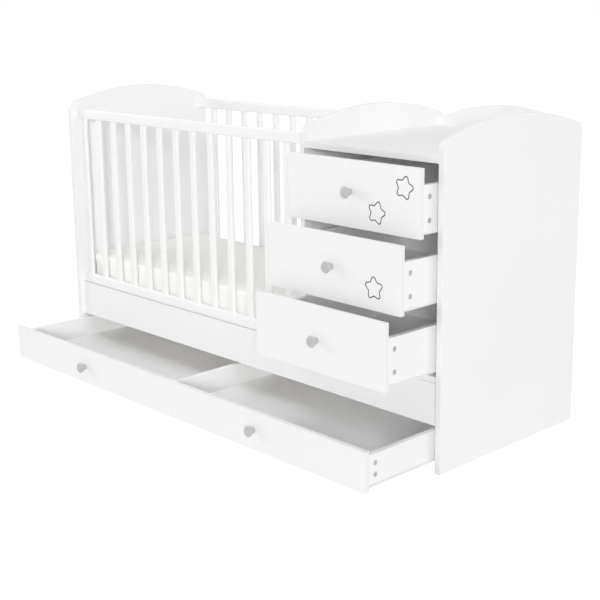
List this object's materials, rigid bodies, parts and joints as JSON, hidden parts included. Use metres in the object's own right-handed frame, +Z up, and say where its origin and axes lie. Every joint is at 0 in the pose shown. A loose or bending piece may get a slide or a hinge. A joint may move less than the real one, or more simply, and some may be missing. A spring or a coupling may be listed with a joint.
{
  "type": "convertible crib",
  "caption": "White cot with fixed slatted sides and mattress, joined to a chest of drawers with a changing top, over one long drawer beneath.",
  "frame": {"origin": "middle of the floor area from the open bed drawer's knobs to the rear, at floor level", "axes": "+X along the length towards the chest, -Y to the front where the drawers open, +Z up"},
  "size_m": [1.754, 0.916, 0.9559],
  "materials": {
    "white_board": "white melamine board, fine satin texture",
    "painted_wood": "white satin paint on beech",
    "plain_wood": "unpainted, sanded",
    "thin_board": "white lacquered thin board",
    "mattress_cover": "woven cotton cover",
    "knob_plastic": "satin grey",
    "zinc": "zinc",
    "runner_metal": "white powder coat",
    "roller_plastic": "smooth nylon"
  },
  "bodies": {
    "frame": {"left_end_panel": "white_board", "middle_panel": "white_board", "right_end_panel": "white_board", "front_apron": "white_board", "rear_apron": "white_board", "front_top_rail": "painted_wood", "front_bottom_rail": "painted_wood", "front_slats": "painted_wood", "rear_top_rail": "painted_wood", "rear_bottom_rail": "painted_wood", "rear_slats": "painted_wood", "base_ledgers": "plain_wood", "base_laths": "plain_wood", "mattress": "mattress_cover", "frame_dowels": "plain_wood", "chest_bottom": "white_board", "changing_top": "white_board", "changer_back_board": "white_board", "chest_back_sheet": "thin_board", "chest_runners": "runner_metal", "bed_runners": "runner_metal"},
    "upper_drawer": {"upper_drawer_front": "white_board", "upper_drawer_sides": "white_board", "upper_drawer_back": "white_board", "upper_drawer_bottom": "thin_board", "upper_drawer_knob": "knob_plastic", "upper_drawer_fasteners": "zinc", "upper_drawer_rails": "runner_metal"},
    "upper_front_rollers": {"upper_front_rollers": "roller_plastic"},
    "upper_rear_rollers": {"upper_rear_rollers": "roller_plastic"},
    "middle_drawer": {"middle_drawer_front": "white_board", "middle_drawer_sides": "white_board", "middle_drawer_back": "white_board", "middle_drawer_bottom": "thin_board", "middle_drawer_knob": "knob_plastic", "middle_drawer_fasteners": "zinc", "middle_drawer_rails": "runner_metal"},
    "middle_front_rollers": {"middle_front_rollers": "roller_plastic"},
    "middle_rear_rollers": {"middle_rear_rollers": "roller_plastic"},
    "lower_drawer": {"lower_drawer_front": "white_board", "lower_drawer_sides": "white_board", "lower_drawer_back": "white_board", "lower_drawer_bottom": "thin_board", "lower_drawer_knob": "knob_plastic", "lower_drawer_fasteners": "zinc", "lower_drawer_rails": "runner_metal"},
    "lower_front_rollers": {"lower_front_rollers": "roller_plastic"},
    "lower_rear_rollers": {"lower_rear_rollers": "roller_plastic"},
    "bed_drawer": {"bed_drawer_front": "white_board", "bed_drawer_left_side": "white_board", "bed_drawer_right_side": "white_board", "bed_drawer_back": "white_board", "bed_drawer_bottom": "thin_board", "bed_drawer_divider": "white_board", "bed_drawer_knobs": "knob_plastic", "bed_drawer_fasteners": "zinc", "bed_drawer_rails": "runner_metal"},
    "bed_front_rollers": {"bed_front_rollers": "roller_plastic"},
    "bed_rear_rollers": {"bed_rear_rollers": "roller_plastic"}
  },
  "joints": [
    {"name": "upper_drawer_slide", "type": "slide", "parent": "frame", "child": "upper_drawer", "axis": [0, -1, 0], "range_m": [-0.066, 0.304]},
    {"name": "upper_front_roller_spin", "type": "hinge", "parent": "frame", "child": "upper_front_rollers", "pos_m": [0.608, -0.13, 0.661], "axis": [1, 0, 0], "range_deg": [-503, 2207]},
    {"name": "upper_rear_roller_spin", "type": "hinge", "parent": "upper_drawer", "child": "upper_rear_rollers", "pos_m": [0.608, 0.276, 0.661], "axis": [1, 0, 0], "range_deg": [-503, 2207]},
    {"name": "middle_drawer_slide", "type": "slide", "parent": "frame", "child": "middle_drawer", "axis": [0, -1, 0], "range_m": [-0.139, 0.231]},
    {"name": "middle_front_roller_spin", "type": "hinge", "parent": "frame", "child": "middle_front_rollers", "pos_m": [0.608, -0.13, 0.4705], "axis": [1, 0, 0], "range_deg": [-1026, 1684]},
    {"name": "middle_rear_roller_spin", "type": "hinge", "parent": "middle_drawer", "child": "middle_rear_rollers", "pos_m": [0.608, 0.203, 0.4705], "axis": [1, 0, 0], "range_deg": [-1026, 1684]},
    {"name": "lower_drawer_slide", "type": "slide", "parent": "frame", "child": "lower_drawer", "axis": [0, -1, 0], "range_m": [-0.198, 0.172]},
    {"name": "lower_front_roller_spin", "type": "hinge", "parent": "frame", "child": "lower_front_rollers", "pos_m": [0.608, -0.13, 0.28], "axis": [1, 0, 0], "range_deg": [-1448, 1262]},
    {"name": "lower_rear_roller_spin", "type": "hinge", "parent": "lower_drawer", "child": "lower_rear_rollers", "pos_m": [0.608, 0.144, 0.28], "axis": [1, 0, 0], "range_deg": [-1448, 1262]},
    {"name": "bed_drawer_slide", "type": "slide", "parent": "frame", "child": "bed_drawer", "axis": [0, -1, 0], "range_m": [-0.27, 0.13]},
    {"name": "bed_front_roller_spin", "type": "hinge", "parent": "frame", "child": "bed_front_rollers", "pos_m": [0, -0.13, 0.0265], "axis": [1, 0, 0], "range_deg": [-1964, 961]},
    {"name": "bed_rear_roller_spin", "type": "hinge", "parent": "bed_drawer", "child": "bed_rear_rollers", "pos_m": [0, 0.072, 0.0265], "axis": [1, 0, 0], "range_deg": [-1964, 961]}
  ],
  "couplings": [
    {"joint": "upper_front_roller_spin", "follows": "upper_drawer_slide", "rad_per_m": 125},
    {"joint": "upper_rear_roller_spin", "follows": "upper_drawer_slide", "rad_per_m": 125},
    {"joint": "middle_front_roller_spin", "follows": "middle_drawer_slide", "rad_per_m": 125},
    {"joint": "middle_rear_roller_spin", "follows": "middle_drawer_slide", "rad_per_m": 125},
    {"joint": "lower_front_roller_spin", "follows": "lower_drawer_slide", "rad_per_m": 125},
    {"joint": "lower_rear_roller_spin", "follows": "lower_drawer_slide", "rad_per_m": 125},
    {"joint": "bed_front_roller_spin", "follows": "bed_drawer_slide", "rad_per_m": 125},
    {"joint": "bed_rear_roller_spin", "follows": "bed_drawer_slide", "rad_per_m": 125}
  ]
}
